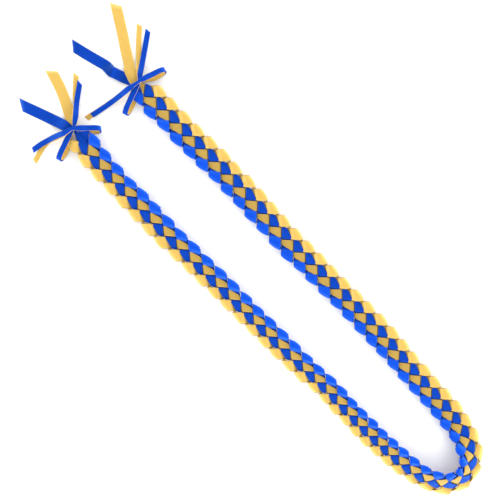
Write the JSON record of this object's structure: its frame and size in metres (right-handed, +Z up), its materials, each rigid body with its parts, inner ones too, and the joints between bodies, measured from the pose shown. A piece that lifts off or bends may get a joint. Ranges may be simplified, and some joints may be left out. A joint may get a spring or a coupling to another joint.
{
  "type": "braided ribbon honor cord",
  "caption": "Flat braid of interlocking gold and blue satin ribbon loops worn as an open loop round the neck, with ribbon tails and a narrow ribbon bow at each end.",
  "frame": {"origin": "middle of the whole cord on the surface that it lies on", "axes": "+Y from the two tied ends towards the neck bend, +Z up off the surface, +X from the strand with the upper bow towards the other strand"},
  "size_m": [0.2578, 0.8841, 0.0262],
  "materials": {
    "gold_satin": "satin ribbon, warm gold, soft sheen across the weave",
    "blue_satin": "satin ribbon, royal blue, soft sheen across the weave"
  },
  "bodies": {
    "root": {"gold_braid_ribbon": "gold_satin", "blue_braid_ribbon": "blue_satin", "gold_tie_ribbon_upper": "gold_satin", "gold_tie_ribbon_lower": "gold_satin", "blue_tie_ribbon_upper": "blue_satin", "blue_tie_ribbon_lower": "blue_satin"}
  },
  "joints": []
}
